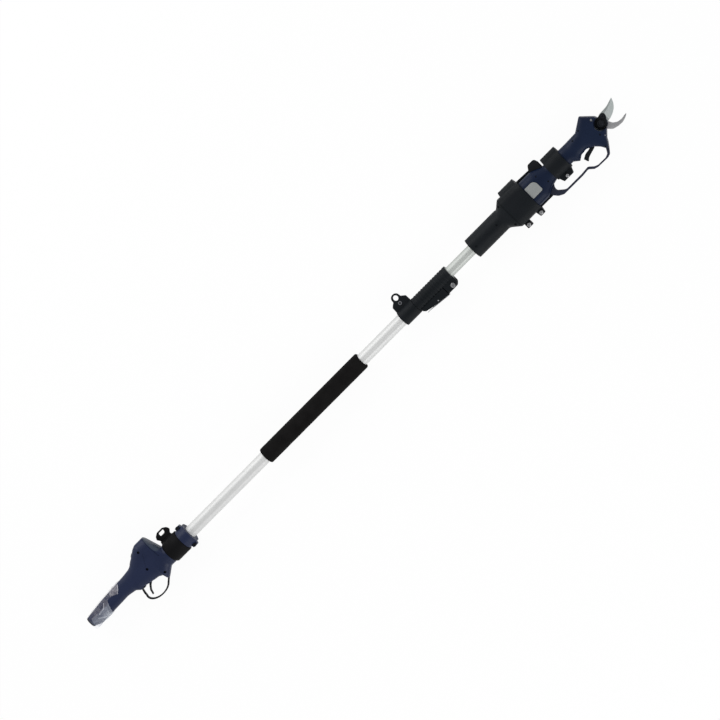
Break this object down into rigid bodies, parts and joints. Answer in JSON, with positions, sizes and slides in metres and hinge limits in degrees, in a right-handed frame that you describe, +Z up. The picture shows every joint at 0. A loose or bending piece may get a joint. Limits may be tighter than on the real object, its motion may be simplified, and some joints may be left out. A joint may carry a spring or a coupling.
{
  "type": "electric pole pruner",
  "caption": "Cordless pruner held in a hinged cradle on a telescopic pole with a trigger handle, a foam grip and a cam clamp.",
  "frame": {"origin": "middle of the part's length and width, at the level of the surface it lies on", "axes": "+X along the pole towards the blades, +Y towards the spine side where the hinges are, +Z up out of the display side, with the cradle's flat back on z = 0"},
  "size_m": [1.6186, 0.1333, 0.0661],
  "materials": {
    "navy_plastic": "satin moulded",
    "deep_navy_plastic": "satin moulded",
    "black_plastic": "satin moulded",
    "grey_plastic": "satin",
    "black_rubber": "matte",
    "foam": "matte foam",
    "anodised_aluminium": "satin anodised",
    "steel": "plated",
    "dark_steel": "blackened",
    "blade_steel": "ground",
    "hook_steel": "ground",
    "clear_film": "thin clear film",
    "circuit_board": "solder mask"
  },
  "bodies": {
    "pole": {"handle_shell_front": "navy_plastic", "handle_shell_back": "navy_plastic", "handle_end_cap": "black_plastic", "trigger_guard": "black_plastic", "pole_trigger_pin": "steel", "pole_trigger_spring": "steel", "pole_switch": "black_plastic", "handle_board": "circuit_board", "indicator_lens": "clear_film", "handle_screw_1": "dark_steel", "handle_screw_2": "dark_steel", "handle_screw_3": "dark_steel", "collar_screw_top": "dark_steel", "collar_screw_bottom": "dark_steel", "film_sleeve": "clear_film", "lower_tube": "anodised_aluminium", "foam_grip": "foam", "clamp_body": "black_plastic", "clamp_bush": "grey_plastic", "lever_pin": "steel", "strap_ring": "black_plastic", "strap_bolt": "steel"},
    "harness": {"harness_ring": "black_plastic", "harness_eye": "black_plastic"},
    "trigger_lever": {"pole_trigger": "black_plastic"},
    "button": {"power_button": "black_plastic"},
    "clamp": {"clamp_lever": "black_plastic", "lever_strip": "steel"},
    "head": {"upper_tube": "anodised_aluminium", "guide_bush": "black_plastic", "cradle_tray": "black_plastic", "socket_cover": "black_plastic", "tube_adapter": "grey_plastic", "socket_screw_top": "dark_steel", "socket_screw_bottom": "dark_steel", "cover_hinge_pin": "steel", "band_hinge_pin": "steel", "pruner_shell_front": "deep_navy_plastic", "pruner_shell_back": "deep_navy_plastic", "battery_pack": "grey_plastic", "motor": "dark_steel", "gearbox": "dark_steel", "pruner_trigger_pin": "steel", "hand_guard": "black_plastic", "display_plate": "grey_plastic", "spine_block": "black_rubber", "hook_blade": "hook_steel", "head_screw": "steel"},
    "cover": {"cradle_cover": "black_plastic", "cover_bolt_rear": "steel", "cover_bolt_front": "steel"},
    "band": {"band_door": "black_plastic", "band_bolt": "steel"},
    "blade": {"cutting_blade": "blade_steel", "pivot_bolt": "steel", "pivot_nut": "dark_steel", "lock_plate": "black_plastic", "lock_screw": "dark_steel"},
    "pinion": {"drive_pinion": "dark_steel"},
    "pruner_lever": {"pruner_trigger": "black_plastic"}
  },
  "joints": [
    {"name": "telescope", "type": "slide", "parent": "pole", "child": "head", "axis": [1, 0, 0], "range_m": [0, 0.55]},
    {"name": "clamp_lever_swing", "type": "hinge", "parent": "pole", "child": "clamp", "pos_m": [0.2907, -0.02535, 0.033], "axis": [0, 0, 1], "range_deg": [0, 110]},
    {"name": "harness_swivel", "type": "hinge", "parent": "pole", "child": "harness", "pos_m": [-0.5516, -0.00015, 0.033], "axis": [1, 0, 0], "continuous": true},
    {"name": "pole_trigger_pull", "type": "hinge", "parent": "pole", "child": "trigger_lever", "pos_m": [-0.6433, -0.00915, 0.033], "axis": [0, 0, 1], "range_deg": [-12, 0], "stiffness_Nm_per_rad": 0.05, "springref_deg": 11.46},
    {"name": "power_button_press", "type": "slide", "parent": "pole", "child": "button", "axis": [0.5547, -0.8321, 0], "range_m": [0, 0.0012], "stiffness_N_per_m": 300, "springref_m": -0.001},
    {"name": "cover_hinge", "type": "hinge", "parent": "head", "child": "cover", "pos_m": [0.5175, 0.04085, 0.033], "axis": [-1, 0, 0], "range_deg": [0, 95]},
    {"name": "band_hinge", "type": "hinge", "parent": "head", "child": "band", "pos_m": [0.62945, 0.02735, 0.033], "axis": [-1, 0, 0], "range_deg": [0, 95]},
    {"name": "blade_cut", "type": "hinge", "parent": "head", "child": "blade", "pos_m": [0.7557, -0.00515, 0.033], "axis": [0, 0, 1], "range_deg": [-50, 0]},
    {"name": "pinion_spin", "type": "hinge", "parent": "head", "child": "pinion", "pos_m": [0.7272, -0.00515, 0.033], "axis": [0, 0, 1], "range_deg": [0, 140]},
    {"name": "pruner_trigger_pull", "type": "hinge", "parent": "head", "child": "pruner_lever", "pos_m": [0.7147, -0.02065, 0.033], "axis": [0, 0, 1], "range_deg": [-7, 0], "stiffness_Nm_per_rad": 0.08, "springref_deg": 11.46}
  ],
  "couplings": [
    {"joint": "pinion_spin", "follows": "blade_cut", "ratio": -2.8}
  ]
}
